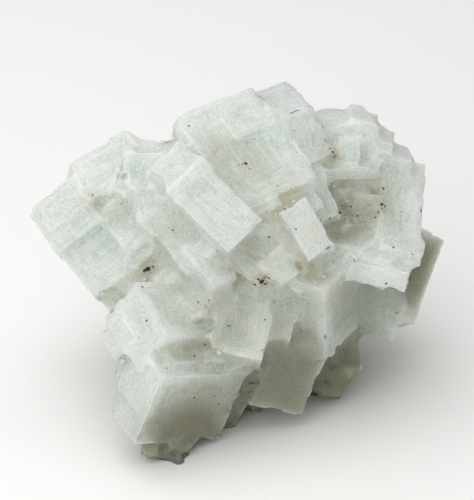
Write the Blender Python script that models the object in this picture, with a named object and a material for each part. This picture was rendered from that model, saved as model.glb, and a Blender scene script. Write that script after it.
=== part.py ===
"""Halite cluster: intergrown cubic crystals of rock salt on a flat sawn underside.

Lengths below are millimetres and turns are degrees; the scene itself is in metres, +Z up.
The crystals grew into one another, so they are joined into one closed solid, which is
then cut level at the table so that it rests on the cut.
"""
import math

import bmesh
import bpy
from mathutils import Euler, Vector, noise

MM = 0.001

# ---------------------------------------------------------------- driving dimensions
EDGE_WEAR = 0.55          # chamfer on every crystal edge
HOPPER_WALL = 0.5         # how far a hopper's stepped wall leans inwards per step
HOPPER_TREAD = 0.5        # width of each further step, as a share of the rim
LUMP_ROUGHNESS = 0.44     # how far a salt lump strays from an ellipsoid, share of its radius
LUMP_GRAIN = 1.7          # bumps across a lump's radius
CLUSTER_MIDDLE = (0.7, 4.51)   # middle of the footprint, in x and y
SMALLEST_EDGE = 0.02      # corners closer than this are one corner
CUTTER_WIDTH = 200        # block that cuts the cluster level, its top at the table
CUTTER_DEPTH = 30
LUMP_PATTERN_STEP = Vector((7.3, 3.1, 5.7))   # lumps take their bumps this far apart
SALT_COLOUR = (0.62, 0.66, 0.58, 1.0)
SALT_ROUGHNESS = 0.42
SALT_IOR = 1.544
SALT_TRANSMISSION = 0.35

# name, centre (x, y, z above the table), size, turn about x, y, z
CRYSTALS = (
    # the large crystals of the front, from the lower left to the right
    ("front_upper", (-21.5, -23, 36.5), (21.5, 20, 15.5), (30, 23, 46)),
    ("front_lower", (-17, -29.5, 18), (30, 16, 24), (10, 17, 33)),
    ("front_back", (-17.5, -24.5, 23), (30, 16, 16), (10, 17, 33)),
    ("front_plate", (-11.5, -18.5, 14.5), (27, 18, 30), (15, 18, 25)),
    ("hollow", (1.5, -21.5, 35), (15.5, 20.5, 10), (39, 11, -7)),
    ("biggest", (26.5, -1.5, 38), (20, 38, 26), (6, 1, -31)),
    ("gap_slab", (10.5, -16.5, 34.5), (11, 14, 10), (42, 16, -1)),
    ("bar", (41.5, -9, 46), (16.5, 13, 6.5), (-17, 7, -12)),
    ("leaning", (19.5, -11, 59.5), (9, 16.5, 14), (44, -21, 23)),
    ("lozenge", (12, -15, 48.8), (8, 9, 12), (37, -23, 33)),
    ("facet", (-9, -17.5, 49.5), (8.5, 15, 12), (24, -1, 38)),
    ("facet_ground", (-11, -12, 42), (17, 16, 12), (29, -22, 34)),
    ("pillar", (-26.5, 3, 61.5), (11, 12, 18), (1, -3, 32)),
    ("lower_slab", (13, -15, 17), (18, 14, 22), (-5, 23, 16)),
    # the left wing
    ("left_tip", (-47.5, 3, 56.5), (17.5, 15, 12), (47, -39, 9)),
    ("left_tip_low", (-49.5, 4, 60), (14, 9, 10), (43, -37, 13)),
    ("left_slab", (-35.5, 0, 47.5), (24, 19, 16), (43, -38, 16)),
    ("left_top", (-36.5, 10, 69), (19, 13, 12), (40, -26, 20)),
    ("left_top_right", (-28.5, 9, 68.5), (11, 18, 12), (42, 13, -11)),
    ("left_saddle", (-36.5, 8, 62.5), (22, 12, 12), (52, -10, -2)),
    ("wing_foot", (-28, -5.5, 33), (16, 16, 14), (44, -32, 4)),
    ("wing_ground", (-31, 5.5, 55.5), (15, 15, 12), (46, -24, 8)),
    ("wing_seat", (-28.5, 0.5, 57.5), (14, 13, 12), (43, -38, 16)),
    ("left_nib_a", (-31, -25, 34), (9, 10, 11), (30, 23, 46)),
    # the crown
    ("blade", (-6, -9.5, 66), (14, 24.5, 14), (38, -32, 33)),
    ("blade_top", (-16.5, -2, 74.5), (12, 12, 12), (38, -32, 33)),
    ("blade_step", (-13, -7, 57.5), (15, 20, 12), (34, -39, 20)),
    ("crown", (2, 10.5, 69), (26, 36, 20), (25, -8, 32)),
    ("crown_ledge", (-2, -0.5, 68.5), (17, 30, 12), (25, -8, 32)),
    ("crown_hopper", (29, 21.5, 73.5), (18.5, 12.5, 14), (-3, 3, 12)),
    ("hopper_ledge", (31.5, 13, 68.5), (20, 10, 4), (-3, 3, 12)),
    ("crown_top", (15, 23.5, 78.5), (11, 24.5, 14), (-9, -11, 19)),
    ("crown_left_a", (1, 19.5, 78), (13, 13, 12), (25, -8, 32)),
    ("crown_left_b", (-6.5, 16, 77), (12, 14, 12), (26, -7, 27)),
    ("crown_left_c", (-13, 12.5, 75.5), (8, 14, 12), (30, -5, 16)),
    ("crown_saddle", (-23, 6, 71), (13, 14, 12), (-20, -6, -10)),
    ("crown_right", (17.5, 16.5, 69), (13, 17, 20), (25, -8, 32)),
    ("under_hopper", (32, 16.5, 61.5), (18, 12, 11), (5, 6, 7)),
    # the stepped right edge
    ("step_a", (35.5, 23, 74.5), (9, 14, 11), (-12, 20, -6)),
    ("step_b", (39, 22, 70), (11, 14, 12), (-12, 22, -10)),
    ("step_c", (44, 20, 64.5), (12, 14, 12), (-10, 18, 2)),
    ("step_d", (46.5, 20, 58.5), (11, 13, 12), (-8, 20, 6)),
    ("right_face", (47.5, 13.5, 54), (13, 26, 13), (46, 7, 1)),
    ("right_plate", (49.5, 15, 32), (12, 16, 27), (-17, 24, 10)),
    ("right_low", (35.5, 6, 25), (22, 15, 14), (71, 19, 14)),
    ("foot_right_a", (29.5, -3, 12), (11, 10, 9), (51, -8, 26)),
    ("foot_right_b", (27, -4, 6), (10, 9, 9), (49, 11, -10)),
    ("right_ledge", (48, 0, 48), (12, 10, 4), (-10, 8, -10)),
    ("right_shelf", (37, 1, 46), (20, 16, 9), (-5, 8, -25)),
    # what shows in the hollows between them
    ("left_hollow", (-22.5, -4, 48.5), (24, 20, 14), (46, -38, -5)),
    ("middle_hollow", (5.5, -10, 53), (17, 17, 12), (38, -28, 35)),
    ("right_hollow", (31, 12, 52.5), (24, 12, 16), (-20, 0, -8)),
    ("ground_right", (19, 2.5, 59), (18, 14, 12), (37, -15, 19)),
    ("under_crown", (14.5, -3.5, 61.5), (20, 8, 10), (33, -13, 20)),
    ("lozenge_ground", (18.5, -10, 48), (13, 12, 10), (37, -27, 31)),
    ("front_ground", (-9.5, -20.5, 31), (22, 20, 12), (60, -9, 5)),
    # the inside and the foot
    ("inside", (0, 20, 40), (64, 30, 40), (0, 0, 0)),
    ("foot", (0, 17, 11), (52, 34, 26), (0, 0, -8)),
    # the far side
    ("far_upper_a", (-30, 24, 50), (22, 20, 20), (-20, 25, 30)),
    ("far_upper_b", (-10, 32, 58), (24, 20, 22), (-30, -10, 15)),
    ("far_upper_c", (14, 36, 58), (20, 22, 24), (-25, 15, -20)),
    ("far_upper_d", (36, 30, 50), (22, 18, 22), (-15, 20, -35)),
    ("far_left", (-38, 20, 36), (18, 18, 16), (15, -20, 10)),
    ("far_middle_a", (-14, 36, 36), (26, 22, 24), (10, 20, 25)),
    ("far_middle_b", (12, 38, 32), (24, 20, 26), (20, -15, -10)),
    ("far_right", (36, 28, 28), (20, 20, 20), (15, 30, 20)),
    ("far_low_a", (-19, 26, 15), (22, 22, 22), (10, 15, 35)),
    ("far_low_b", (6, 32, 12), (26, 22, 22), (-10, 10, -15)),
    ("far_low_c", (24, 22, 12), (20, 20, 20), (20, 10, 30)),
)

# Hollow (hopper) faces: crystal, face, rim left standing, depth of a step, steps
HOPPERS = (
    ("front_lower", "-y", 3.0, 0.4, 2),
    ("front_upper", "+z", 2.0, 0.5, 1),
    ("hollow", "+z", 1.6, 1.8, 1),
    ("biggest", "+x", 2.5, 0.8, 1),
    ("biggest", "-y", 2.5, 0.6, 1),
    ("crown", "+z", 2.0, 0.6, 1),
    ("crown_hopper", "-y", 3.0, 0.5, 2),
    ("crown_top", "+z", 2.0, 0.8, 1),
    ("right_face", "+z", 2.0, 0.6, 1),
    ("left_slab", "-y", 3.0, 0.5, 1),
    ("blade", "+z", 1.5, 0.4, 1),
    ("leaning", "+z", 1.0, 0.4, 1),
    ("far_upper_b", "+y", 3.0, 1.1, 2),
    ("far_upper_d", "+y", 3.0, 0.9, 1),
    ("far_middle_b", "+y", 3.5, 1.2, 3),
    ("far_left", "-x", 2.5, 1.0, 1),
    ("far_right", "+x", 3.0, 1.1, 2),
)

# Rough lumps of fine-grained salt and clay: name, centre, radii, seed
LUMPS = (
    ("lump_foot_front", (-21, -34.5, 3.5), (7, 6, 6), 1),
    ("lump_foot_middle", (5, -9, 8.5), (8, 8, 8.5), 2),
    ("lump_foot_right", (27, -3, 12), (9.5, 9, 13), 3),
    ("lump_right", (46, 7, 23.5), (6, 6, 6), 4),
)

FACE_DIRECTIONS = {
    "+x": Vector((1, 0, 0)),
    "-x": Vector((-1, 0, 0)),
    "+y": Vector((0, 1, 0)),
    "-y": Vector((0, -1, 0)),
    "+z": Vector((0, 0, 1)),
}


def clear_scene():
    """Removes whatever objects the file opened with."""
    for obj in list(bpy.data.objects):
        bpy.data.objects.remove(obj, do_unlink=True)


def new_collection(name):
    """A collection in the scene."""
    group = bpy.data.collections.new(name)
    bpy.context.scene.collection.children.link(group)
    return group


def salt_material():
    """Milky, faintly green rock salt with an etched skin."""
    material = bpy.data.materials.new("rock_salt")
    material.use_nodes = True
    shader = material.node_tree.nodes["Principled BSDF"]
    shader.inputs["Base Color"].default_value = SALT_COLOUR
    shader.inputs["Roughness"].default_value = SALT_ROUGHNESS
    shader.inputs["Metallic"].default_value = 0.0
    shader.inputs["IOR"].default_value = SALT_IOR
    shader.inputs["Transmission Weight"].default_value = SALT_TRANSMISSION
    material.diffuse_color = SALT_COLOUR
    return material


def hollow_out(bm, direction, rim, step, steps):
    """Sinks a face in steps, leaving a rim, as a hopper crystal's faces do."""
    face = max(bm.faces, key=lambda f: f.normal.dot(direction))
    bmesh.ops.inset_region(bm, faces=[face], thickness=rim * MM, depth=0.0)
    for number in range(steps):
        if number:
            bmesh.ops.inset_region(bm, faces=[face], thickness=HOPPER_TREAD * rim * MM, depth=0.0)
        bmesh.ops.inset_region(bm, faces=[face], thickness=HOPPER_WALL * MM, depth=-step * MM)


def crystal_mesh(name, size):
    """A cuboid with worn edges and whichever hollow faces it has."""
    bm = bmesh.new()
    bmesh.ops.create_cube(bm, size=1.0)
    bmesh.ops.scale(bm, vec=Vector(size) * MM, verts=bm.verts)
    bmesh.ops.bevel(bm, geom=bm.edges[:], offset=EDGE_WEAR * MM, segments=1, affect="EDGES")
    for crystal, face, rim, step, steps in HOPPERS:
        if crystal == name:
            hollow_out(bm, FACE_DIRECTIONS[face], rim, step, steps)
    mesh = bpy.data.meshes.new(name)
    bm.to_mesh(mesh)
    bm.free()
    return mesh


def lump_mesh(name, radii, seed):
    """An ellipsoid whose surface wanders in and out."""
    bm = bmesh.new()
    bmesh.ops.create_icosphere(bm, subdivisions=2, radius=1.0)
    drift = seed * LUMP_PATTERN_STEP
    for vert in bm.verts:
        swell = 1.0 + LUMP_ROUGHNESS * noise.noise(vert.co * LUMP_GRAIN + drift)
        vert.co = Vector([c * r * MM * swell for c, r in zip(vert.co, radii)])
    mesh = bpy.data.meshes.new(name)
    bm.to_mesh(mesh)
    bm.free()
    return mesh


def place(mesh, group, centre, turn=(0, 0, 0)):
    """Puts a mesh in a collection at a place in the cluster."""
    obj = bpy.data.objects.new(mesh.name, mesh)
    x, y, z = centre
    obj.location = Vector((x - CLUSTER_MIDDLE[0], y - CLUSTER_MIDDLE[1], z)) * MM
    obj.rotation_euler = Euler([math.radians(angle) for angle in turn])
    group.objects.link(obj)
    return obj


def table_cutter(group):
    """A block whose top is the table."""
    bm = bmesh.new()
    bmesh.ops.create_cube(bm, size=1.0)
    bmesh.ops.scale(bm, vec=Vector((CUTTER_WIDTH, CUTTER_WIDTH, CUTTER_DEPTH)) * MM, verts=bm.verts)
    mesh = bpy.data.meshes.new("table_cutter")
    bm.to_mesh(mesh)
    bm.free()
    return place(mesh, group, (0, 0, -CUTTER_DEPTH / 2))


def keep_outer_body(mesh):
    """Welds stray corners and drops any sealed pocket left between crystals."""
    bm = bmesh.new()
    bm.from_mesh(mesh)
    bmesh.ops.remove_doubles(bm, verts=bm.verts, dist=SMALLEST_EDGE * MM)
    bmesh.ops.dissolve_degenerate(bm, edges=bm.edges, dist=SMALLEST_EDGE * MM)
    bm.verts.ensure_lookup_table()
    unseen = set(bm.verts)
    bodies = []
    while unseen:
        front = [unseen.pop()]
        body = list(front)
        while front:
            vert = front.pop()
            for edge in vert.link_edges:
                other = edge.other_vert(vert)
                if other in unseen:
                    unseen.remove(other)
                    front.append(other)
                    body.append(other)
        bodies.append(body)
    bodies.sort(key=len)
    for body in bodies[:-1]:
        bmesh.ops.delete(bm, geom=body, context="VERTS")
    bmesh.ops.triangulate(bm, faces=bm.faces)
    bmesh.ops.recalc_face_normals(bm, faces=bm.faces)
    bm.to_mesh(mesh)
    bm.free()


def build_cluster():
    """Joins every crystal and lump and cuts the cluster level at the table."""
    finished = new_collection("halite_cluster")
    ingredients = new_collection("halite_crystals")
    cutters = new_collection("halite_cutters")
    for name, centre, size, turn in CRYSTALS:
        place(crystal_mesh(name, size), ingredients, centre, turn)
    for name, centre, radii, seed in LUMPS:
        place(lump_mesh(name, radii, seed), ingredients, centre)
    cutter = table_cutter(cutters)

    first = ingredients.objects["inside"]
    cluster = bpy.data.objects.new("halite_cluster", first.data.copy())
    cluster.location = first.location
    finished.objects.link(cluster)
    ingredients.objects.unlink(first)
    bpy.data.objects.remove(first)

    union = cluster.modifiers.new("grown_together", "BOOLEAN")
    union.operation = "UNION"
    union.solver = "EXACT"
    union.operand_type = "COLLECTION"
    union.collection = ingredients
    level = cluster.modifiers.new("cut_level", "BOOLEAN")
    level.operation = "DIFFERENCE"
    level.solver = "EXACT"
    level.object = cutter

    bpy.context.view_layer.update()
    solved = cluster.evaluated_get(bpy.context.evaluated_depsgraph_get())
    mesh = bpy.data.meshes.new_from_object(solved)
    mesh.name = "halite_cluster"
    mesh.transform(cluster.matrix_world)
    cluster.modifiers.clear()
    cluster.location = (0, 0, 0)
    cluster.data = mesh
    keep_outer_body(mesh)
    mesh.materials.clear()
    mesh.materials.append(salt_material())

    for group in (ingredients, cutters):
        for obj in group.objects:
            obj.hide_render = True
            obj.display_type = "WIRE"
        group.hide_render = True
    return cluster


clear_scene()
build_cluster()
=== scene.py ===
"""Looks of the halite cluster: milky, etched rock salt crystals grown into one another.

Lengths are millimetres above the table until a mesh is made; the meshes are in metres.
"""
import math

import bpy
import numpy as np
from mathutils import Euler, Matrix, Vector


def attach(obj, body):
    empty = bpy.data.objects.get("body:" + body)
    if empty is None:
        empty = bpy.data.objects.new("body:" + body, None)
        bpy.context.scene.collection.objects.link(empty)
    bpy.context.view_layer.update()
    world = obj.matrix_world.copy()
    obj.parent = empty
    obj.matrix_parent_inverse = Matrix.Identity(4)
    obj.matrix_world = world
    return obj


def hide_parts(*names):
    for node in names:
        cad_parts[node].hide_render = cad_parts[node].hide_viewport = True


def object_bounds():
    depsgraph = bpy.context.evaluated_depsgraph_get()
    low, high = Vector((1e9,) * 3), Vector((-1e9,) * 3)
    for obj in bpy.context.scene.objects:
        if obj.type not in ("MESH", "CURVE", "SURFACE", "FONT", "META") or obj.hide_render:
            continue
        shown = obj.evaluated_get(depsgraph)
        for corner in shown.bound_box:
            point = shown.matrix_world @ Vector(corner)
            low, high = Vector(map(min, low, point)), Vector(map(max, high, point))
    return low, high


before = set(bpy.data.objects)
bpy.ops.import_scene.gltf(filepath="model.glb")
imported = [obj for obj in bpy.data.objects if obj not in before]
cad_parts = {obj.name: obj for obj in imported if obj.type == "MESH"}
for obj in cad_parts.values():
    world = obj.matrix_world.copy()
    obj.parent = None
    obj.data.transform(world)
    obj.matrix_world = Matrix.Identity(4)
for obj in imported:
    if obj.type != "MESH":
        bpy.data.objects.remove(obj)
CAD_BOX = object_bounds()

MM = 0.001
# middle of the cluster's box, from the point on the table that the crystals are placed from
CLUSTER_MIDDLE = np.array([0.7, 4.51, 0.0])

# ---------------------------------------------------------------- crystals
# name, centre above the table, size, turn about x, y, z in degrees
CRYSTALS = (
    # the large crystals of the front, from the lower left to the right
    ("front_upper", (-21.5, -23, 36.5), (21.5, 20, 15.5), (30, 23, 46)),
    ("front_lower", (-17, -29.5, 18), (30, 16, 24), (10, 17, 33)),
    ("front_back", (-17.5, -24.5, 23), (30, 16, 16), (10, 17, 33)),
    ("front_seat", (-12.5, -28, 28.5), (21, 11, 6), (10, 17, 33)),
    ("front_plate", (-11.5, -18.5, 14.5), (27, 18, 30), (15, 18, 25)),
    ("hollow", (1.5, -21.5, 35), (15.5, 20.5, 10), (39, 11, -7)),
    ("biggest", (26.5, -1.5, 38), (20, 38, 26), (6, 1, -31)),
    ("gap_slab", (10.5, -16.5, 34.5), (11, 14, 10), (42, 16, -1)),
    ("bar", (41.5, -9, 46), (16.5, 13, 6.5), (-17, 7, -12)),
    ("leaning", (19.5, -11, 59.5), (9, 16.5, 14), (44, -21, 23)),
    ("lozenge", (12, -15, 48.8), (8, 9, 12), (37, -23, 33)),
    ("facet", (-9, -17.5, 49.5), (8.5, 15, 12), (24, -1, 38)),
    ("facet_ground", (-11, -12, 42), (17, 16, 12), (29, -22, 34)),
    ("pillar", (-26.5, 3, 61.5), (11, 12, 18), (1, -3, 32)),
    ("lower_slab", (13, -15, 17), (18, 14, 22), (-5, 23, 16)),
    # the left wing
    ("left_tip", (-47.5, 3, 56.5), (17.5, 15, 12), (47, -39, 9)),
    ("left_tip_low", (-49.5, 4, 60), (14, 9, 10), (43, -37, 13)),
    ("left_slab", (-35.5, 0, 47.5), (24, 19, 16), (43, -38, 16)),
    ("left_top", (-36.5, 10, 69), (19, 13, 12), (40, -26, 20)),
    ("left_top_right", (-28.5, 9, 68.5), (11, 18, 12), (42, 13, -11)),
    ("left_saddle", (-36.5, 8, 62.5), (22, 12, 12), (52, -10, -2)),
    ("wing_foot", (-28, -5.5, 33), (16, 16, 14), (44, -32, 4)),
    ("wing_ground", (-31, 5.5, 55.5), (15, 15, 12), (46, -24, 8)),
    ("fin", (-32.5, 4, 74), (8.5, 1.3, 5), (29, -59, 48)),
    ("wing_seat", (-28.5, 0.5, 57.5), (14, 13, 12), (43, -38, 16)),
    ("left_nib_a", (-31, -25, 34), (9, 10, 11), (30, 23, 46)),
    # the crown
    ("blade", (-6, -9.5, 66), (14, 24.5, 14), (38, -32, 33)),
    ("blade_top", (-16.5, -2, 74.5), (12, 12, 12), (38, -32, 33)),
    ("blade_step", (-13, -7, 57.5), (15, 20, 12), (34, -39, 20)),
    ("crown", (2, 10.5, 69), (26, 36, 20), (25, -8, 32)),
    ("crown_ledge", (-2, -0.5, 68.5), (17, 30, 12), (25, -8, 32)),
    ("crown_hopper", (29, 21.5, 73.5), (18.5, 12.5, 14), (-3, 3, 12)),
    ("hopper_ledge", (31.5, 13, 68.5), (20, 10, 4), (-3, 3, 12)),
    ("hopper_inner", (32.5, 14, 72), (6.5, 8, 5), (46, 2, 2)),
    ("crown_top", (15, 23.5, 78.5), (11, 24.5, 14), (-9, -11, 19)),
    ("crown_left_a", (1, 19.5, 78), (13, 13, 12), (25, -8, 32)),
    ("crown_left_b", (-6.5, 16, 77), (12, 14, 12), (26, -7, 27)),
    ("crown_left_c", (-13, 12.5, 75.5), (8, 14, 12), (30, -5, 16)),
    ("crown_saddle", (-23, 6, 71), (13, 14, 12), (-20, -6, -10)),
    ("crown_right", (17.5, 16.5, 69), (13, 17, 20), (25, -8, 32)),
    ("under_hopper", (32, 16.5, 61.5), (18, 12, 11), (5, 6, 7)),
    # the stepped right edge
    ("step_a", (35.5, 23, 74.5), (9, 14, 11), (-12, 20, -6)),
    ("step_b", (39, 22, 70), (11, 14, 12), (-12, 22, -10)),
    ("step_c", (44, 20, 64.5), (12, 14, 12), (-10, 18, 2)),
    ("step_d", (46.5, 20, 58.5), (11, 13, 12), (-8, 20, 6)),
    ("right_face", (47.5, 13.5, 54), (13, 26, 13), (46, 7, 1)),
    ("right_plate", (49.5, 15, 32), (12, 16, 27), (-17, 24, 10)),
    ("right_low", (35.5, 6, 25), (22, 15, 14), (71, 19, 14)),
    ("foot_right_a", (29.5, -3, 12), (11, 10, 9), (51, -8, 26)),
    ("foot_right_b", (27, -4, 6), (10, 9, 9), (49, 11, -10)),
    ("right_ledge", (48, 0, 48), (12, 10, 4), (-10, 8, -10)),
    ("right_shelf", (37, 1, 46), (20, 16, 9), (-5, 8, -25)),
    # what shows in the hollows between them
    ("left_hollow", (-22.5, -4, 48.5), (24, 20, 14), (46, -38, -5)),
    ("middle_hollow", (5.5, -10, 53), (17, 17, 12), (38, -28, 35)),
    ("right_hollow", (31, 12, 52.5), (24, 12, 16), (-20, 0, -8)),
    ("ground_right", (19, 2.5, 59), (18, 14, 12), (37, -15, 19)),
    ("under_crown", (14.5, -3.5, 61.5), (20, 8, 10), (33, -13, 20)),
    ("lozenge_ground", (18.5, -10, 48), (13, 12, 10), (37, -27, 31)),
    ("front_ground", (-9.5, -20.5, 31), (22, 20, 12), (60, -9, 5)),
    # the inside and the foot
    ("inside", (0, 20, 40), (64, 30, 40), (0, 0, 0)),
    ("foot", (0, 17, 11), (52, 34, 26), (0, 0, -8)),
    # the far side
    ("far_upper_a", (-30, 24, 50), (22, 20, 20), (-20, 25, 30)),
    ("far_upper_b", (-10, 32, 58), (24, 20, 22), (-30, -10, 15)),
    ("far_upper_c", (14, 36, 58), (20, 22, 24), (-25, 15, -20)),
    ("far_upper_d", (36, 30, 50), (22, 18, 22), (-15, 20, -35)),
    ("far_left", (-38, 20, 36), (18, 18, 16), (15, -20, 10)),
    ("far_middle_a", (-14, 36, 36), (26, 22, 24), (10, 20, 25)),
    ("far_middle_b", (12, 38, 32), (24, 20, 26), (20, -15, -10)),
    ("far_right", (36, 28, 28), (20, 20, 20), (15, 30, 20)),
    ("far_low_a", (-19, 26, 15), (22, 22, 22), (10, 15, 35)),
    ("far_low_b", (6, 32, 12), (26, 22, 22), (-10, 10, -15)),
    ("far_low_c", (24, 22, 12), (20, 20, 20), (20, 10, 30)),
)

# Hollow (hopper) faces: crystal, axis, side, rim left standing, depth of a step, steps,
# width of the slope down each step
HOPPERS = (
    ("front_lower", 1, -1, 3.0, 0.4, 2, 4.0),
    ("front_upper", 2, 1, 2.0, 0.5, 1, 3.0),
    ("hollow", 2, 1, 1.6, 1.8, 1, 6.0),
    ("biggest", 0, 1, 2.5, 0.8, 1, 5.0),
    ("biggest", 1, -1, 2.5, 0.6, 1, 5.0),
    ("crown", 2, 1, 2.0, 0.6, 1, 4.0),
    ("crown_hopper", 1, -1, 3.0, 0.5, 2, 1.2),
    ("crown_top", 2, 1, 2.0, 0.8, 1, 1.5),
    ("right_face", 2, 1, 2.0, 0.6, 1, 3.0),
    ("left_slab", 1, -1, 3.0, 0.5, 1, 2.0),
    ("blade", 2, 1, 1.5, 0.4, 1, 3.0),
    ("leaning", 2, 1, 1.0, 0.4, 1, 2.5),
    ("far_upper_b", 1, 1, 3.0, 1.1, 2, 1.2),
    ("far_upper_d", 1, 1, 3.0, 0.9, 1, 1.5),
    ("far_middle_b", 1, 1, 3.5, 1.2, 3, 1.2),
    ("far_left", 0, -1, 2.5, 1.0, 1, 1.5),
    ("far_right", 0, 1, 3.0, 1.1, 2, 1.2),
)

# Lumps of fine-grained salt and clay: name, centre, radii
LUMPS = (
    ("lump_foot_front", (-21, -34.5, 3.5), (7, 6, 6)),
    ("lump_foot_middle", (5, -9, 8.5), (8, 8, 8.5)),
    ("lump_foot_right", (27, -3, 12), (9.5, 9, 13)),
    ("lump_right", (46, 7, 23.5), (6, 6, 6)),
)

CELL = 0.88               # spacing of the cubes that the surface is found in
SKIN_MARGIN = 2.0         # how far past the box the surface is looked for
FIELD_MARGIN = 12.0       # how far past the box the crust is worked out
LEVEL_CUT = 0.2           # corners lower than this lie on the level cut and aren't etched
FILLET = 2.5              # radius of the salt in the corner between two crystals
FILLETS = {"inside": 1.0, "foot": 1.0, "foot_right_a": 4.0, "foot_right_b": 4.0,
           "blade_step": 5.0, "blade_top": 4.0, "left_hollow": 4.0, "facet_ground": 5.0,
           "middle_hollow": 4.0, "left_saddle": 4.0, "ground_right": 4.0, "right_shelf": 4.0,
           "right_ledge": 3.0, "crown_ledge": 1.0, "crown_saddle": 4.0, "hollow": 4.0,
           "wing_seat": 4.0, "gap_slab": 4.0, "fin": 0.5, "hopper_inner": 0.8,
           "front_seat": 1.5}
LUMP_FILLET = 2.0         # radius of the salt round a lump
LUMP_CRUMB = 1.3          # how far the crumbs stand out of a lump
HOPPER_RAGGED = 1.6       # how far a hopper's walls wander
HOLD = 0.05               # pull of a corner point towards the mean of its crossings
FAR_AWAY = 20.0           # the field's value where no crystal is near
CRUST_CELL = 1.5          # spacing of the lattice that the crust is worked out on
CRUST_REACH = 3.6         # how far off salt is counted round a point
CRUST_SHARE = 0.60        # the share of salt round a point at the crust's surface
CRUST_FILLET = 1.0        # radius between the crust and a crystal's face
CRUST_NEAR = 9.0          # no crust is looked for farther out than this
CRUST_CRUMB = 1.2         # how far the crust's surface wanders

BROAD_HOLLOWS = 0.35      # depth of etched hollows 8 mm across
FINE_HOLLOWS = 0.25       # depth of etched hollows 2.2 mm across
GROWTH_STEP = 0.18        # height of a growth step
GROWTH_WALLS = (1.8, 3.6, 5.6)   # how far in from a crystal's edge the steps are
NICK = 0.9                # depth of the deepest nick in an edge
SHELTER_PROBES = (1.5, 4.0, 9.0)

SEEDS = 300               # small cubes in the hollows
SEED_HALF = 0.3           # least half width of a seed cube
SEED_SPREAD = 0.5         # how much more the largest has
SEED_TIP = 7.0            # degrees that a seed cube is tipped by, as a standard deviation
SEED_ROOM = 2.5           # seed cubes keep this far inside the cluster's box
LOOSE_SPECKS = 70         # specks of clay anywhere, besides the listed ones
SPECK_SHARE = 0.55        # a listed speck's middle radius, as a share of its reach
SPECK_ROOM = 1.0          # loose specks keep this far inside the cluster's box

# Clay stains: place, radius, strength
STAINS = (
    (-25, -13, 48, 5, 0.75),
    (-20, -12, 59, 8, 0.35),
    (7, -22, 50, 4, 1),
    (2, 1, 75, 9, 0.45),
    (-3, 3, 77, 8, 0.45),
    (31, 5, 58, 9, 0.9),
    (40, 7, 61, 6, 0.8),
    (28, 9, 75, 4, 0.8),
    (-41, -1, 65, 3.5, 0.55),
    (-32, 3, 73, 3, 0.45),
    (-13, -31, 32, 4, 0.6),
    (-7, -26, 43, 8, 0.45),
    (-3, -28, 35, 8, 0.4),
    (7, -12, 69, 3, 0.5),
    (-11, -34, 17, 9, 0.35),
    (15, -16, 31, 9, 0.3),
    (30, -14, 43, 6, 0.35),
    (2, -17, 58, 5, 0.35),
    (23, -17, 63, 5, 0.35),
    (18, -17, 55, 4, 0.45),
    (34, -13, 51, 3, 0.3),
    (-33, -2, 61, 5, 0.3),
    (14, -14, 59, 6, 0.3),
    (-21, -16, 52, 9, 0.35),
    (5, -20, 51, 10, 0.35),
    (5, -22, 39, 9, 0.35),
    (14, -24, 33, 8, 0.4),
    (14, -5, 71, 7, 0.3),
    (23, -18, 45, 8, 0.35),
    (-12, -23, 41, 7, 0.3),
)

# Painted shade: patches low down and under overhangs, darkened towards the foot's shade colour:
# place, radius, strength
PAINTED_SHADE_PATCHES = (
    (13, -22, 12, 20, 0.85),
    (30, -2, 8, 17, 1.0),
    (59, 10, 34, 13, 0.9),
    (36, -6, 32, 14, 0.4),
    (47, -1, 29, 9, 0.35),
    (-14, -36, 2, 18, 0.9),
    (24, -20, 34, 10, 0.2),
    (-6, -34, 16, 12, 0.35),
    (-3, -26, 33, 8, 0.2),
    (40, -6, 27, 8, 0.45),
)

# Specks of clay: place, reach
SPECKS = (
    (-25.5, -12.5, 49, 1.5),
    (-26.5, -12.5, 48.5, 0.8),
    (-24, -13, 50, 0.7),
    (-26.5, -24, 50, 0.6),
    (2.5, 1.5, 75.5, 0.8),
    (1.5, 1, 75.5, 0.4),
    (9, -13.5, 60, 0.5),
    (42, 6.5, 59.5, 0.9),
    (42, 6, 58.5, 0.6),
    (42.5, 10.5, 62.5, 0.6),
    (41, 5.5, 57.5, 0.4),
    (50.5, -5, 49.5, 0.5),
    (45, -4.5, 51.5, 0.5),
    (29, -2, 53, 0.4),
    (-12.5, -25.5, 45, 0.4),
    (-7, -26.5, 45.5, 0.5),
    (-1.5, -26.5, 39, 0.5),
    (-9, -28.5, 33.5, 0.4),
    (-12.5, -32, 31, 0.6),
    (13.5, -12.5, 68.5, 0.5),
    (16.5, -16, 64, 0.4),
    (16.5, 11.5, 81, 0.35),
    (47, 1, 26, 0.4),
    (7, -21.5, 50, 1.1),
    (8, -20.5, 49, 0.8),
    (6, -21, 50.5, 0.7),
    (5, -22, 49.5, 0.6),
    (9, -22, 51.5, 0.6),
    (27.5, 9, 75.5, 0.7),
    (27, 10, 76, 0.5),
    (28, 10, 73.5, 0.5),
    (-43, 0.5, 63.5, 0.4),
    (5, 10, 79, 0.4),
    (0.5, 0.5, 75.5, 0.4),
    (3.5, 0, 74.5, 0.35),
    (29.5, -3, 62, 0.6),
    (33, 7, 58.5, 0.5),
    (35, 6, 56, 0.5),
    (37, 5, 54.5, 0.4),
    (26.5, -4.5, 61, 0.5),
    (40, 5, 56, 0.4),
    (38.5, 7, 59, 0.4),
    (14.5, -20, 29.5, 0.45),
    (7.5, -25, 40.5, 0.4),
    (-3.5, -31, 17.5, 0.35),
    (-5, -31, 15, 0.4),
    (-6, -32, 18.5, 0.35),
    (-32.5, -1, 64, 0.35),
    (-48.5, -5, 57.5, 0.35),
    (-38.5, -2.5, 57, 0.4),
    (11.5, -4.5, 71.5, 0.35),
    (48, 7.5, 56.5, 0.4),
    (15, -20.5, 29, 0.3),
    (23.5, -14.5, 66, 0.4),
)

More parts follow.
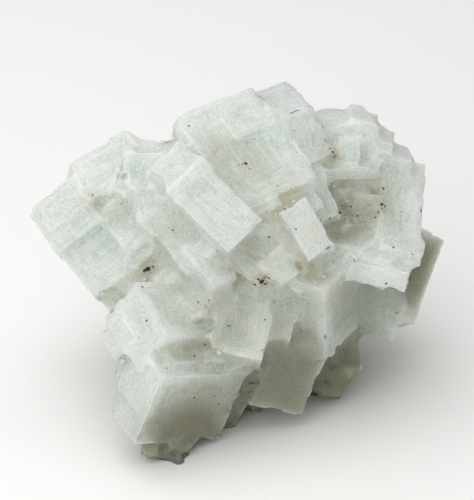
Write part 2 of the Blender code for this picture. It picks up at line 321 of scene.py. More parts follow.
CLEAR_SALT = "#C9D4CB"
MILKY_SALT = "#DAE1DA"
WHITE_SALT = "#EFF4F0"
SHADY_SALT = "#A9AFA3"
# a brown film in sheltered hollows, partly painted shade there
OLIVE_FILM_AND_SHADE = "#C4B087"
# painted shade: the colour that the foot, faces turned down and the shade patches are darkened to
FOOT_SHADE = "#7B7B63"
BROWN_CLAY = "#A3925F"
RUSTY_CLAY = "#86693D"

SALT_IOR = 1.544
CLUSTER_DEPTH = 0.022     # metres that light goes into the cluster
SEED_DEPTH = 0.0015       # metres that light goes into a seed cube
SMOOTH_BELOW = 32.0       # degrees between faces under which shading is smooth

# Studio, in metres and degrees
CAMERA_AIM = 0.048        # height of the point that the camera looks at
CAMERA_DISTANCE = 0.725
CAMERA_RISE = 30.0
CAMERA_LENS = 180.0
CAMERA_SENSOR = 36.0
SKY = 0.45                # strength of the even white light from all round
# name, place, size, power
LAMPS = (
    ("key", (-0.18, 0.02, 0.8), 1.0, 4.8),
    ("fill", (-0.35, -0.7, 0.45), 0.8, 2.6),
)


# ---------------------------------------------------------------- numbers
# primes and odd multipliers that mix a lattice point's coordinates
AXIS_PRIMES = (73856093, 19349663, 83492791)
SEED_PRIME = 2654435761
FIRST_MIX = 0x9E3779B97F4A7C15
SECOND_MIX = 0xBF58476D1CE4E5B9


def lattice_value(cell, seed):
    """A fixed number from 0 to 1 for each whole-number lattice point: its three coordinates
    and the seed are mixed by multiplying and folding bits."""
    x, y, z = (cell[..., i].astype(np.uint64) * np.uint64(AXIS_PRIMES[i]) for i in range(3))
    mixed = x ^ y ^ z
    mixed = (mixed ^ np.uint64(seed * SEED_PRIME % 2**32)) * np.uint64(FIRST_MIX)
    mixed ^= mixed >> np.uint64(29)
    mixed *= np.uint64(SECOND_MIX)
    return (mixed >> np.uint64(40)).astype(float) / 2**24


def drift(points, grain, seed):
    """Smooth wandering from 0 to 1: the value at a point is blended from the eight lattice
    points round it, grain apart, with the weight t*t*(3 - 2t) along each axis."""
    scaled = points / grain + 1000.0
    low = np.floor(scaled).astype(np.int64)
    t = scaled - low
    t = t * t * (3.0 - 2.0 * t)
    total = np.zeros(len(points))
    for corner in np.ndindex(2, 2, 2):
        share = np.prod(np.where(corner, t, 1.0 - t), axis=1)
        total += share * lattice_value(low + np.array(corner), seed)
    return total


def ease(x):
    """0 below 0, 1 above 1, and x*x*(3 - 2x) between."""
    x = np.clip(x, 0.0, 1.0)
    return x * x * (3.0 - 2.0 * x)


def turn_matrix(turn):
    """The rotation for degrees about x, y, z, as Blender's XYZ order has it."""
    return np.array(Euler([math.radians(a) for a in turn]).to_matrix())


# ---------------------------------------------------------------- the grown shape
# Tilted blocks cross one another along sharp edges that no single sheet over a grid can
# follow. So the whole cluster is one distance field, and its skin is where the field is 0.
def box_distance(own, half):
    """Distance to a box about the middle of its own axes, below 0 inside: with q = |own| - half
    it is |max(q, 0)| + min(max(q), 0)."""
    q = np.abs(own) - half
    return np.linalg.norm(np.maximum(q, 0.0), axis=1) + np.minimum(q.max(axis=1), 0.0)


def crystal_distance(points, number):
    """Distance to one crystal: the greater of its box's and, over each hopper face, the height
    above the sunken floor. With d the distance in from the face's nearest edge, made ragged by
    drift, the floor sinks by one step where d passes rim * (1 + k / 2)."""
    name, centre, size, turn = CRYSTALS[number]
    own = (points - np.array(centre)) @ turn_matrix(turn)
    half = np.array(size) / 2.0
    distance = box_distance(own, half)
    for crystal, axis, side, rim, step, steps, slope in HOPPERS:
        if crystal != name:
            continue
        d = np.delete(half - np.abs(own), axis, axis=1).min(axis=1)
        d += HOPPER_RAGGED * (drift(own, 3.5, number) - 0.5) * ease(d / rim)
        sunk = sum(step * ease((d - rim * (1.0 + 0.5 * k)) / slope) for k in range(steps))
        distance = np.maximum(distance, side * own[:, axis] - half[axis] + sunk)
    return distance


def lump_distance(points, number):
    """Distance to a lump, nearly: the mean radius times how far past 1 the point is in the
    ellipsoid, with drift of half the mean radius and of crumbs 2.2 mm across added."""
    name, centre, radii = LUMPS[number]
    own = points - np.array(centre)
    radii = np.array(radii)
    mean = radii.mean()
    distance = (np.linalg.norm(own / radii, axis=1) - 1.0) * mean
    distance += mean * 0.5 * drift(own, mean * 0.7, number + 11)
    return distance + LUMP_CRUMB * (drift(own, 2.2, number + 31) - 0.5) - 0.25 * mean


def grow_into(field, distance, fillet):
    """Joins a shape to what is there with a fillet of salt in the corner between them:
    max(r, min(a, b)) - |max(r - a, 0), max(r - b, 0)|."""
    a = np.maximum(fillet - field, 0.0)
    b = np.maximum(fillet - distance, 0.0)
    return np.maximum(fillet, np.minimum(field, distance)) - np.sqrt(a * a + b * b)


def cluster_field(points):
    """Distance to the whole cluster, below 0 inside: the crystals and lumps grown into one
    another in turn, then cut level where z is 0. Only points near a crystal are tried on it."""
    field = np.full(len(points), FAR_AWAY)
    shapes = [(crystal_distance, i, c[1], np.linalg.norm(c[2]) / 2.0, FILLETS.get(c[0], FILLET))
              for i, c in enumerate(CRYSTALS)]
    shapes += [(lump_distance, i, c[1], max(c[2]) * 1.3, LUMP_FILLET)
               for i, c in enumerate(LUMPS)]
    for distance_to, number, centre, radius, fillet in shapes:
        gap = np.einsum("ij,ij->i", points - np.array(centre), points - np.array(centre))
        near = np.flatnonzero(gap < (radius + fillet + 2.0) ** 2)
        if len(near):
            found = distance_to(points[near], number)
            field[near] = grow_into(field[near], found, fillet)
    return np.maximum(field, -points[:, 2])


def crust_lattice(low, high):
    """Where fine salt fills the hollows, on a lattice: the share of salt round each lattice
    point, weighted by a Gaussian bell CRUST_REACH wide, taken from CRUST_SHARE and stretched so
    that it changes by about 1 in a millimetre, as a distance does."""
    lines = [np.arange(low[i], high[i] + CRUST_CELL, CRUST_CELL) for i in range(3)]
    grid = np.stack(np.meshgrid(*lines, indexing="ij"), -1)
    share = np.clip(0.5 - cluster_field(grid.reshape(-1, 3)) / (2.0 * CRUST_CELL), 0.0, 1.0)
    share = share.reshape(grid.shape[:3])
    steps = np.arange(-int(2.5 * CRUST_REACH / CRUST_CELL), int(2.5 * CRUST_REACH / CRUST_CELL) + 1)
    bell = np.exp(-0.5 * (steps * CRUST_CELL / CRUST_REACH) ** 2)
    bell /= bell.sum()
    for axis in range(3):
        share = sum(weight * np.roll(share, step, axis) for weight, step in zip(bell, steps))
    return (CRUST_SHARE - share) * CRUST_REACH * math.sqrt(2.0 * math.pi)


def read_lattice(lattice, low, points):
    """A lattice's value at each point, weighted from the eight lattice points round it."""
    scaled = (points - low) / CRUST_CELL
    cell = np.clip(np.floor(scaled).astype(int), 0, np.array(lattice.shape) - 2)
    t = np.clip(scaled - cell, 0.0, 1.0)
    total = np.zeros(len(points))
    for corner in np.ndindex(2, 2, 2):
        i, j, k = (cell + np.array(corner)).T
        total += np.prod(np.where(corner, t, 1.0 - t), axis=1) * lattice[i, j, k]
    return total


def crusted_field(low, high):
    """The cluster's field with its hollows filled by crumbly salt, as a function of points."""
    low = np.array(low)
    lattice = crust_lattice(low, high)

    def field(points):
        base = cluster_field(points)
        near = np.flatnonzero(base < CRUST_NEAR)
        crust = read_lattice(lattice, low, points[near])
        crust += CRUST_CRUMB * (drift(points[near], 2.4, 71) - 0.5)
        base[near] = grow_into(base[near], crust, CRUST_FILLET)
        return np.maximum(base, -points[:, 2])

    return field


def field_slope(points, field):
    """Unit direction in which the field rises fastest, from differences 0.02 mm each way."""
    slope = np.empty_like(points)
    for axis in range(3):
        shift = np.zeros(3)
        shift[axis] = 0.02
        slope[:, axis] = field(points + shift) - field(points - shift)
    return slope / np.maximum(np.linalg.norm(slope, axis=1), 1e-9)[:, None]


def skin(field, low, high, cell):
    """The surface where a field is 0, as corner points and four-cornered faces. Space is cut
    into cubes. Where a cube's edge crosses the surface, the crossing's place and slope give a
    plane; each cube's corner point is the one nearest to all of its planes, so that crystal
    edges stay sharp, held lightly to the mean of the crossings and kept in its cube. Each
    crossed edge gives a face between the four cubes round it."""
    lines = [np.arange(low[i], high[i] + cell, cell) for i in range(3)]
    shape = tuple(len(line) for line in lines)
    values = np.empty(shape)
    for i, x in enumerate(lines[0]):
        y, z = np.meshgrid(lines[1], lines[2], indexing="ij")
        sheet = np.stack([np.full(y.size, x), y.ravel(), z.ravel()], axis=1)
        values[i] = field(sheet).reshape(shape[1:])
    inside = values < 0.0
    strides = np.array([shape[1] * shape[2], shape[2], 1])

    crossings, around, outward = [], [], []
    for axis in range(3):
        first = [slice(None)] * 3
        second = [slice(None)] * 3
        first[axis], second[axis] = slice(0, -1), slice(1, None)
        at = np.argwhere(inside[tuple(first)] != inside[tuple(second)])
        ahead = at.copy()
        ahead[:, axis] += 1
        v0 = values[tuple(at.T)]
        v1 = values[tuple(ahead.T)]
        place = np.array(low) + cell * at
        place[:, axis] += cell * v0 / (v0 - v1)
        u, v = (axis + 1) % 3, (axis + 2) % 3
        corner = at @ strides
        ring = np.stack([corner - strides[u] - strides[v], corner - strides[v], corner,
                         corner - strides[u]], axis=1)
        crossings.append(place)
        around.append(ring)
        outward.append(v0 < 0.0)
    crossings = np.concatenate(crossings)
    around = np.concatenate(around)
    outward = np.concatenate(outward)
    slopes = field_slope(crossings, field)

    cubes, faces = np.unique(around, return_inverse=True)
    faces = faces.reshape(around.shape)
    count = np.bincount(faces.ravel(), minlength=len(cubes)).astype(float)

    def gather(amounts):
        return sum(np.bincount(faces[:, k], amounts, len(cubes)) for k in range(4))

    mean = np.stack([gather(crossings[:, i]) for i in range(3)], axis=1) / count[:, None]
    reach = np.einsum("ij,ij->i", slopes, crossings)
    pull = np.stack([gather(slopes[:, i] * reach) for i in range(3)], axis=1)
    square = np.empty((len(cubes), 3, 3))
    for i in range(3):
        for j in range(3):
            square[:, i, j] = gather(slopes[:, i] * slopes[:, j])
    pull -= np.einsum("nij,nj->ni", square, mean)
    points = mean + np.linalg.solve(square + HOLD * np.eye(3), pull[..., None])[..., 0]
    index = np.stack(np.unravel_index(cubes, shape), axis=1)
    corner = np.array(low) + cell * index
    points = np.clip(points, corner - 0.05 * cell, corner + 1.05 * cell)
    faces = np.where(outward[:, None], faces, faces[:, ::-1])
    return points, faces


def largest_body(points, faces):
    """Drops the sealed pockets left between crystals: every corner takes the lowest label
    among its neighbours until nothing changes, and the commonest label stays."""
    a = faces.ravel()
    b = np.roll(faces, -1, axis=1).ravel()
    label = np.arange(len(points))
    while True:
        before = label.copy()
        np.minimum.at(label, a, label[b])
        np.minimum.at(label, b, label[a])
        label = label[label]
        if np.array_equal(before, label):
            break
    kept = label == np.bincount(label).argmax()
    number = np.cumsum(kept) - 1
    return points[kept], number[faces[kept[faces[:, 0]]]]


def add_mesh(name, points, faces):
    """A mesh object from corner points in millimetres and four-cornered faces."""
    mesh = bpy.data.meshes.new(name)
    mesh.vertices.add(len(points))
    mesh.vertices.foreach_set("co", ((points - CLUSTER_MIDDLE) * MM).astype(np.float32).ravel())
    mesh.loops.add(faces.size)
    mesh.loops.foreach_set("vertex_index", faces.astype(np.int32).ravel())
    mesh.polygons.add(len(faces))
    mesh.polygons.foreach_set("loop_start", np.arange(0, faces.size, 4, dtype=np.int32))
    mesh.update(calc_edges=True)
    obj = bpy.data.objects.new(name, mesh)
    bpy.context.scene.collection.objects.link(obj)
    return obj


def shelter(points, normals, field):
    """How walled in each point is, from 0 on an open face to 1 deep in a gap: the mean, over
    three probes out along the normal, of the share of the probe's length by which the nearest
    salt is closer than it would be on open ground."""
    total = np.zeros(len(points))
    for reach in SHELTER_PROBES:
        nearest = np.minimum(field(points + normals * reach), reach)
        total += np.clip((reach - nearest) / reach, 0.0, 1.0) / len(SHELTER_PROBES)
    return total


def nearest_crystal(points):
    """The number of the crystal whose surface is nearest to each point."""
    best = np.full(len(points), np.inf)
    owner = np.zeros(len(points), int)
    for number, (name, centre, size, turn) in enumerate(CRYSTALS):
        own = (points - np.array(centre)) @ turn_matrix(turn)
        distance = box_distance(own, np.array(size) / 2.0)
        closer = distance < best
        best = np.where(closer, distance, best)
        owner = np.where(closer, number, owner)
    return owner


def growth_marks(points, faces):
    """For every face corner: the distance to its own crystal's nearest edge, the place along
    that edge, and the crystal's number, all from the corner's place in the crystal's axes."""
    middle = points[faces].mean(axis=1)
    owner = nearest_crystal(middle)
    marks = np.zeros((len(faces), 4, 3))
    for number, (name, centre, size, turn) in enumerate(CRYSTALS):
        mine = np.flatnonzero(owner == number)
        half = np.array(size) / 2.0
        own = (points[faces[mine]] - np.array(centre)) @ turn_matrix(turn)
        room = half - np.abs(own)
        flat = room.mean(axis=1).argmin(axis=1)
        rows = np.arange(len(mine))
        room[rows, :, flat] = np.inf
        near = room.mean(axis=1).argmin(axis=1)
        marks[mine, :, 0] = np.maximum(room.min(axis=2), 0.0)
        marks[mine, :, 1] = own[rows, :, 3 - flat - near]
        marks[mine, :, 2] = (number + 0.17 * flat)[:, None]
    return marks.reshape(-1, 3)


def write_attribute(mesh, name, kind, domain, values):
    """A named attribute on the mesh, filled from an array."""
    made = mesh.attributes.new(name, kind, domain)
    key = "vector" if kind == "FLOAT_VECTOR" else "value"
    made.data.foreach_set(key, values.astype(np.float32).ravel())


def patches(points, listed):
    """The strongest of the listed patches at each point: each is whole within half its radius
    and gone at one and a half times its radius."""
    strongest = np.zeros(len(points))
    for x, y, z, radius, strength in listed:
        gap = np.linalg.norm(points - np.array([x, y, z]), axis=1)
        strongest = np.maximum(strongest, strength * ease(1.5 - gap / radius))
    return strongest


def etch(points, normals, to_edge):
    """Wears the surface inwards along its normals: shallow hollows of 8 mm, finer ones of
    2.2 mm, low growth steps that follow the distance to the crystal's edge, and nicks where
    an edge is near and drift is high, which fade by e for each millimetre from the edge."""
    depth = BROAD_HOLLOWS * drift(points, 8.0, 3) + FINE_HOLLOWS * drift(points, 2.2, 4)
    wandering = to_edge + 3.0 * (drift(points, 4.0, 5) - 0.5)
    for wall in GROWTH_WALLS:
        depth += GROWTH_STEP * ease((wandering - wall) / 0.5)
    depth += NICK * ease(drift(points, 2.6, 6) * 3.2 - 1.7) * np.exp(-to_edge)
    return points - normals * depth[:, None]


def lattice_shell(n):
    """The outside of an n by n by n lattice from -1 to 1, as points and outward faces."""
    steps = np.linspace(-1.0, 1.0, n)
    points = np.stack(np.meshgrid(steps, steps, steps, indexing="ij"), -1).reshape(-1, 3)
    index = np.arange(n ** 3).reshape(n, n, n)
    quads = []
    for axis in range(3):
        for side in (0, n - 1):
            sheet = np.take(index, side, axis)
            quad = np.stack([sheet[:-1, :-1], sheet[1:, :-1], sheet[1:, 1:], sheet[:-1, 1:]], -1)
            outward = (side > 0) != (axis == 1)
            quads.append(quad.reshape(-1, 4) if outward else quad.reshape(-1, 4)[:, ::-1])
    used, faces = np.unique(np.concatenate(quads), return_inverse=True)
    return points[used], faces.reshape(-1, 4)


def placed(shell, faces, centres, frames, halves):
    """Copies of a shell: each is stretched by its half sizes, turned by its frame and moved to
    its centre, all as one set of points and faces."""
    shells = shell if shell.ndim == 3 else np.broadcast_to(shell, (len(centres), *shell.shape))
    points = np.einsum("nij,nkj->nki", frames, shells * halves[:, None, :]) + centres[:, None, :]
    numbers = faces[None] + (np.arange(len(centres)) * shells.shape[1])[:, None, None]
    return points.reshape(-1, 3), numbers.reshape(-1, 4)


def frame_on(normals, spin):
    """Axes for each normal: the third along it, the first square to it and spun about it."""
    third = normals / np.linalg.norm(normals, axis=1)[:, None]
    aside = np.where(np.abs(third[:, :1]) > 0.8, [[0.0, 1.0, 0.0]], [[1.0, 0.0, 0.0]])
    first = np.cross(aside, third)
    first /= np.linalg.norm(first, axis=1)[:, None]
    second = np.cross(third, first)
    turned = first * np.cos(spin)[:, None] + second * np.sin(spin)[:, None]
    return np.stack([turned, np.cross(third, turned), third], axis=2)


def settle(points, field):
    """Moves points onto the surface: three times by the field's value down its slope."""
    for _ in range(3):
        slope = field_slope(points, field)
        points = points - slope * field(points)[:, None]
    return points, field_slope(points, field)


def grow_cluster(field):
    """Meshes the grown shape, etches it, keeps it in the solid's box and writes what the
    salt's pattern and its painted shade follow."""
    low, high = BOX
    points, faces = skin(field, low - SKIN_MARGIN, high + SKIN_MARGIN, CELL)
    points, faces = largest_body(points, faces)
    cluster = add_mesh("rock_salt_cluster", points, faces)
    mesh = cluster.data
    normals = np.empty(len(points) * 3, np.float32)
    mesh.vertices.foreach_get("normal", normals)
    normals = normals.reshape(-1, 3)
    marks = growth_marks(points, faces)
    to_edge = np.bincount(faces.ravel(), marks[:, 0]) / np.bincount(faces.ravel())
    write_attribute(mesh, "growth", "FLOAT_VECTOR", "CORNER", marks)
    sheltered = shelter(points, normals, field)
    write_attribute(mesh, "shelter", "FLOAT", "POINT", sheltered)
    write_attribute(mesh, "stain", "FLOAT", "POINT", patches(points, STAINS))
    # painted shade: how far each point is darkened by the listed shade patches
    write_attribute(mesh, "painted_shade", "FLOAT", "POINT", patches(points, PAINTED_SHADE_PATCHES))
    worn = etch(points, normals, to_edge)
    worn = np.where(points[:, 2:] < LEVEL_CUT, points, worn)
    worn = np.clip(worn, low, high)
    mesh.vertices.foreach_set("co", ((worn - CLUSTER_MIDDLE) * MM).astype(np.float32).ravel())
    mesh.update()
    return cluster, points, normals, sheltered


def seed_cubes(points, normals, sheltered):
    """Small late cubes in the hollows, each in the axes of the crystal under it, tipped a
    little and sunk by about half."""
    rng = np.random.default_rng(11)
    low, high = BOX
    room = ((points > low + SEED_ROOM) & (points < high - SEED_ROOM)).all(axis=1)
    chance = np.where(room, ease((sheltered - 0.2) / 0.3), 0.0)
    chosen = rng.choice(len(points), SEEDS, replace=False, p=chance / chance.sum())
    spot = points[chosen]
    owner = nearest_crystal(spot)
    frames = np.array([turn_matrix(CRYSTALS[number][3]) for number in owner])
    tips = np.array([turn_matrix(turn) for turn in rng.normal(0.0, SEED_TIP, (SEEDS, 3))])
    halves = SEED_HALF + SEED_SPREAD * rng.random((SEEDS, 1)) ** 2
    halves = halves * (0.8 + 0.4 * rng.random((SEEDS, 3)))
    shell, faces = lattice_shell(2)
    centres = spot - 0.5 * halves.min(axis=1)[:, None] * normals[chosen]
    cubes = add_mesh("seed_cubes", *placed(shell, faces, centres, frames @ tips, halves))
    # each cube takes the shelter, the clay stain and the painted shade of its spot
    for name, values in (("shelter", 0.7 * sheltered[chosen]), ("stain", patches(spot, STAINS)),
                         ("painted_shade", patches(spot, PAINTED_SHADE_PATCHES))):
        write_attribute(cubes.data, name, "FLOAT", "POINT", np.repeat(values, len(shell)))
    return cubes


def clay_specks(points, field):
    """Specks of clay lying on the salt: lumpy balls, flattened along the surface's normal.
    The listed ones lie where stains are, and small ones anywhere."""
    rng = np.random.default_rng(5)
    low, high = BOX
    listed = np.array(SPECKS)
    room = ((points > low + SPECK_ROOM) & (points < high - SPECK_ROOM)).all(axis=1)
    room = np.flatnonzero(room)
    loose = points[rng.choice(room, LOOSE_SPECKS, replace=False)]
    places, slopes = settle(np.concatenate([listed[:, :3], loose]), field)
    radii = np.concatenate([SPECK_SHARE * listed[:, 3],
                            0.12 + 0.2 * rng.random(LOOSE_SPECKS) ** 2])
    shell, faces = lattice_shell(4)
    shell = shell / np.linalg.norm(shell, axis=1)[:, None]
    lumps = shell[None] * (0.65 + 0.7 * rng.random((len(radii), len(shell), 1)))
    halves = radii[:, None] * np.stack([0.9 + 0.5 * rng.random(len(radii)),
                                        0.6 + 0.3 * rng.random(len(radii)),
                                        np.full(len(radii), 0.45)], axis=1)
    frames = frame_on(slopes, rng.random(len(radii)) * 2.0 * math.pi)
    return add_mesh("clay_specks", *placed(lumps, faces, places, frames, halves))


# ---------------------------------------------------------------- finishes
def rgb(code):
    """Linear colour of an sRGB hex value."""
    parts = [int(code[i:i + 2], 16) / 255.0 for i in (1, 3, 5)]
    linear = [p / 12.92 if p <= 0.04045 else ((p + 0.055) / 1.055) ** 2.4 for p in parts]
    return (*linear, 1.0)


def node(tree, kind, settings=(), links=()):
    """Adds a node and gives its main output. Settings name its properties, or its inputs by
    name or number; links name inputs and give the sockets that go in."""
    made = tree.nodes.new("ShaderNode" + kind)
    for key, value in dict(settings).items():
        if isinstance(key, str) and hasattr(made, key):
            setattr(made, key, value)
        else:
            made.inputs[key].default_value = value
    for key, socket in dict(links).items():
        tree.links.new(socket, made.inputs[key])
    live = [socket for socket in made.outputs if socket.enabled]
    return live[0]


def frosted_rock_salt(name, depth):
    """Halite etched by damp: milky, with clear and cloudy veils, whiter along its worn edges.
    The eye gets soft light from inside, a faint sparkle from the etched skin and from glints
    painted into the colour, fine lines parallel to each crystal's edges, a brown film with
    painted shade in the gaps, clay stains, and painted shade towards the foot and on faces
    turned down. Light goes in by the depth, in metres."""
    material = bpy.data.materials.new(name)
    material.use_nodes = True
    tree = material.node_tree
    shader = tree.nodes["Principled BSDF"]
    place = node(tree, "TexCoord").node.outputs["Object"]
    growth = node(tree, "Attribute", {"attribute_name": "growth"}).node.outputs["Vector"]
    sheltered = node(tree, "Attribute", {"attribute_name": "shelter"}).node.outputs["Fac"]
    stain = node(tree, "Attribute", {"attribute_name": "stain"}).node.outputs["Fac"]
    # painted shade from the listed shade patches
    painted_shade = node(tree, "Attribute", {"attribute_name": "painted_shade"}).node.outputs["Fac"]
    to_edge = node(tree, "SeparateXYZ", {}, {0: growth})
    height_up = node(tree, "SeparateXYZ", {}, {0: place}).node.outputs["Z"]
    normal = node(tree, "NewGeometry").node.outputs["Normal"]
    facing_up = node(tree, "SeparateXYZ", {}, {0: normal}).node.outputs["Z"]

    # cloudy veils 12 mm across, mottling of 3 mm, grain of 0.8 mm and glints of 0.4 mm, the glints
    # painted into the colour as pale highlight specks and also raised in the bump
    veils = node(tree, "TexNoise", {"Scale": 1000 / 12, "Detail": 5.0, "Roughness": 0.62},
                 {"Vector": place})
    mottle = node(tree, "TexNoise", {"Scale": 1000 / 3, "Detail": 5.0, "Roughness": 0.66},
                  {"Vector": place})
    grain = node(tree, "TexNoise", {"Scale": 1000 / 0.8, "Detail": 3.0, "Roughness": 0.7},
                 {"Vector": place})
    glints = node(tree, "TexNoise", {"Scale": 1000 / 0.4, "Detail": 1.0}, {"Vector": place})
    # lines 1 mm and 0.4 mm apart and many times as long, parallel to the nearest edge
    lines = node(tree, "Mapping", {"Scale": (1.0, 0.06, 1.0)}, {"Vector": growth})
    lines = node(tree, "TexNoise", {"Scale": 1.0, "Detail": 4.0, "Roughness": 0.65},
                 {"Vector": lines})
    fine_lines = node(tree, "Mapping", {"Scale": (2.6, 0.16, 3.0)}, {"Vector": growth})
    fine_lines = node(tree, "TexNoise", {"Scale": 1.0, "Detail": 2.0}, {"Vector": fine_lines})

    # each layer of colour over the one before it: the pattern that it follows, the values
    # where it starts and where it is whole, its greatest share and its tint
    smooth = {"interpolation_type": "SMOOTHSTEP"}
    amount = node(tree, "MapRange", {**smooth, 1: 0.38, 2: 0.64}, {0: veils})
    colour = node(tree, "Mix", {"data_type": "RGBA", 6: rgb(CLEAR_SALT), 7: rgb(MILKY_SALT)},
                  {0: amount})
    for value, low, high, most, tint in (
            (mottle, 0.46, 0.72, 0.35, WHITE_SALT), (lines, 0.48, 0.66, 0.45, WHITE_SALT),
            (lines, 0.5, 0.34, 0.15, SHADY_SALT), (fine_lines, 0.5, 0.75, 0.4, WHITE_SALT),
            (fine_lines, 0.48, 0.3, 0.18, SHADY_SALT),
            (grain, 0.45, 0.7, 0.45, WHITE_SALT), (grain, 0.5, 0.25, 0.12, SHADY_SALT),
            (glints, 0.45, 0.7, 0.4, WHITE_SALT)):
        amount = node(tree, "MapRange", {**smooth, 1: low, 2: high, 4: most}, {0: value})
        colour = node(tree, "Mix", {"data_type": "RGBA", 7: rgb(tint)}, {0: amount, 6: colour})
    # worn edges, broken up by the mottling
    ragged = node(tree, "Math", {"operation": "MULTIPLY_ADD", 1: 2.4, 2: -0.6}, {0: mottle})
    ragged = node(tree, "Math", {"operation": "ADD"}, {0: to_edge, 1: ragged})
    amount = node(tree, "MapRange", {**smooth, 1: 0.5, 2: 1.3, 3: 0.55, 4: 0.0}, {0: ragged})
    colour = node(tree, "Mix", {"data_type": "RGBA", 7: rgb(WHITE_SALT)}, {0: amount, 6: colour})
    # a brown film with painted shade where the salt is sheltered, clay stains, and painted shade at
    # the foot and under things
    # partly a brown film and partly painted shade, growing with shelter
    film_and_shade = node(tree, "Math", {"operation": "MULTIPLY_ADD", 1: 0.35}, {0: veils, 2: sheltered})
    amount = node(tree, "MapRange", {**smooth, 1: 0.34, 2: 0.9, 4: 0.4}, {0: film_and_shade})
    colour = node(tree, "Mix", {"data_type": "RGBA", 7: rgb(OLIVE_FILM_AND_SHADE)}, {0: amount, 6: colour})
    # painted shade: darker towards the foot and on faces turned down, where light from above falls
    # less
    foot = node(tree, "Math", {"operation": "MULTIPLY_ADD", 1: 0.02}, {0: veils, 2: height_up})
    foot = node(tree, "MapRange", {**smooth, 1: 0.050, 2: 0.008}, {0: foot})
    under = node(tree, "MapRange", {**smooth, 1: 0.5, 2: -0.4, 3: 0.1, 4: 1.0}, {0: facing_up})
    amount = node(tree, "Math", {"operation": "MULTIPLY"}, {0: foot, 1: under})
    amount = node(tree, "Math", {"operation": "MAXIMUM"}, {0: amount, 1: painted_shade})
    colour = node(tree, "Mix", {"data_type": "RGBA", 7: rgb(FOOT_SHADE)}, {0: amount, 6: colour})
    patchy = node(tree, "MapRange", {**smooth, 1: 0.36, 2: 0.64, 3: 0.2, 4: 0.7}, {0: mottle})
    amount = node(tree, "Math", {"operation": "MULTIPLY"}, {0: stain, 1: patchy})
    colour = node(tree, "Mix", {"data_type": "RGBA", 7: rgb(BROWN_CLAY)}, {0: amount, 6: colour})
    amount = node(tree, "MapRange", {**smooth, 1: 0.58, 2: 0.7, 4: 0.85}, {0: amount})
    colour = node(tree, "Mix", {"data_type": "RGBA", 7: rgb(RUSTY_CLAY)}, {0: amount, 6: colour})
    tree.links.new(colour, shader.inputs["Base Color"])

    shader.inputs["IOR"].default_value = SALT_IOR
    shader.inputs["Subsurface Weight"].default_value = 0.9
    shader.inputs["Subsurface Radius"].default_value = (1.0, 1.0, 0.92)
    shader.inputs["Subsurface Scale"].default_value = depth
    shader.inputs["Transmission Weight"].default_value = 0.1
    rough = node(tree, "MapRange", {**smooth, 1: 0.3, 2: 0.7, 3: 0.25, 4: 0.5}, {0: grain})
    tree.links.new(rough, shader.inputs["Roughness"])

    height = node(tree, "Math", {"operation": "MULTIPLY_ADD", 1: 0.7}, {0: lines, 2: mottle})
    height = node(tree, "Math", {"operation": "MULTIPLY_ADD", 1: 0.6}, {0: grain, 2: height})
    height = node(tree, "Math", {"operation": "MULTIPLY_ADD", 1: 0.5}, {0: fine_lines, 2: height})
    height = node(tree, "Math", {"operation": "MULTIPLY_ADD", 1: 0.2}, {0: glints, 2: height})
    bump = node(tree, "Bump", {"Strength": 0.8, "Distance": 0.0005}, {"Height": height})
    tree.links.new(bump, shader.inputs["Normal"])
    return material


def dried_clay():
    """Dark clay dried on the salt: matt crumbs, nearly black where thick."""
    material = bpy.data.materials.new("dried_clay")
    material.use_nodes = True
    tree = material.node_tree
    shader = tree.nodes["Principled BSDF"]
    place = node(tree, "TexCoord").node.outputs["Object"]
    crumbs = node(tree, "TexNoise", {"Scale": 1000 / 0.5, "Detail": 2.0}, {"Vector": place})
    colour = node(tree, "Mix", {"data_type": "RGBA", 6: rgb("#1E1812"), 7: rgb("#4A3A26")},
                  {0: crumbs})
    tree.links.new(colour, shader.inputs["Base Color"])
    shader.inputs["Roughness"].default_value = 0.9
    return material


def matt_white_board():
    """Painted board: matt, faintly warm, with no gloss to catch the lamps."""
    material = bpy.data.materials.new("matt_white_board")
    material.use_nodes = True
    shader = material.node_tree.nodes["Principled BSDF"]
    shader.inputs["Base Color"].default_value = rgb("#F4F4F2")
    shader.inputs["Roughness"].default_value = 0.9
    return material


def pale_floor():
    """A wide level sheet under the cluster: x and y run over a square, and z is 0."""
    side = np.linspace(-3000.0, 3000.0, 13)
    x, y = np.meshgrid(side, side, indexing="ij")
    points = np.stack([x, y, np.zeros_like(x)], -1).reshape(-1, 3)
    index = np.arange(x.size).reshape(x.shape)
    quads = np.stack([index[:-1, :-1], index[1:, :-1], index[1:, 1:], index[:-1, 1:]], -1)
    floor = add_mesh("floor", points, quads.reshape(-1, 4))
    floor.data.materials.append(matt_white_board())
    return floor


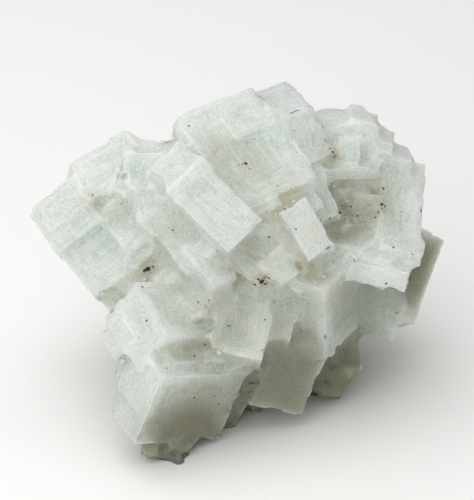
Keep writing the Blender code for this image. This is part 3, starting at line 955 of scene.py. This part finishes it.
def look_at(obj, place, target):
    """Puts an object at a place with its -Z axis towards the target."""
    obj.location = place
    obj.rotation_euler = (Vector(target) - Vector(place)).to_track_quat("-Z", "Y").to_euler()


def soft_light(name, place, target, size, power):
    """A square lamp that shines from a place towards a target."""
    lamp = bpy.data.lights.new(name, "AREA")
    lamp.size = size
    lamp.energy = power
    obj = bpy.data.objects.new(name, lamp)
    bpy.context.scene.collection.objects.link(obj)
    look_at(obj, place, target)


# ---------------------------------------------------------------- the scene
BOX = tuple(np.array(corner) / MM + CLUSTER_MIDDLE for corner in CAD_BOX)
salt_field = crusted_field(BOX[0] - FIELD_MARGIN, BOX[1] + FIELD_MARGIN)
cluster, skin_points, skin_normals, skin_shelter = grow_cluster(salt_field)
cubes = seed_cubes(skin_points, skin_normals, skin_shelter)
specks = clay_specks(skin_points, salt_field)

cluster.data.materials.append(frosted_rock_salt("frosted_rock_salt", CLUSTER_DEPTH))
cubes.data.materials.append(frosted_rock_salt("frosted_seed_salt", SEED_DEPTH))
specks.data.materials.append(dried_clay())
cluster.data.shade_smooth()
cluster.data.set_sharp_from_angle(angle=math.radians(SMOOTH_BELOW))
specks.data.shade_smooth()
for piece in (cluster, cubes, specks):
    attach(piece, "root")
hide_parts("halite_cluster")

pale_floor()

scene = bpy.context.scene
scene.view_settings.view_transform = "Standard"
world = bpy.data.worlds.new("studio")
world.use_nodes = True
sky = world.node_tree.nodes["Background"]
sky.inputs["Color"].default_value = (1.0, 1.0, 1.0, 1.0)
sky.inputs["Strength"].default_value = SKY
scene.world = world

middle = Vector((-CLUSTER_MIDDLE[0] * MM, -CLUSTER_MIDDLE[1] * MM, CAMERA_AIM))
for name, place, size, power in LAMPS:
    soft_light(name, place, middle, size, power)

camera = bpy.data.objects.new("camera", bpy.data.cameras.new("camera"))
camera.data.lens = CAMERA_LENS
camera.data.sensor_width = CAMERA_SENSOR
camera.data.clip_start = 0.01
rise = math.radians(CAMERA_RISE)
place = middle + CAMERA_DISTANCE * Vector((0.0, -math.cos(rise), math.sin(rise)))
look_at(camera, place, middle)
scene.collection.objects.link(camera)
scene.camera = camera
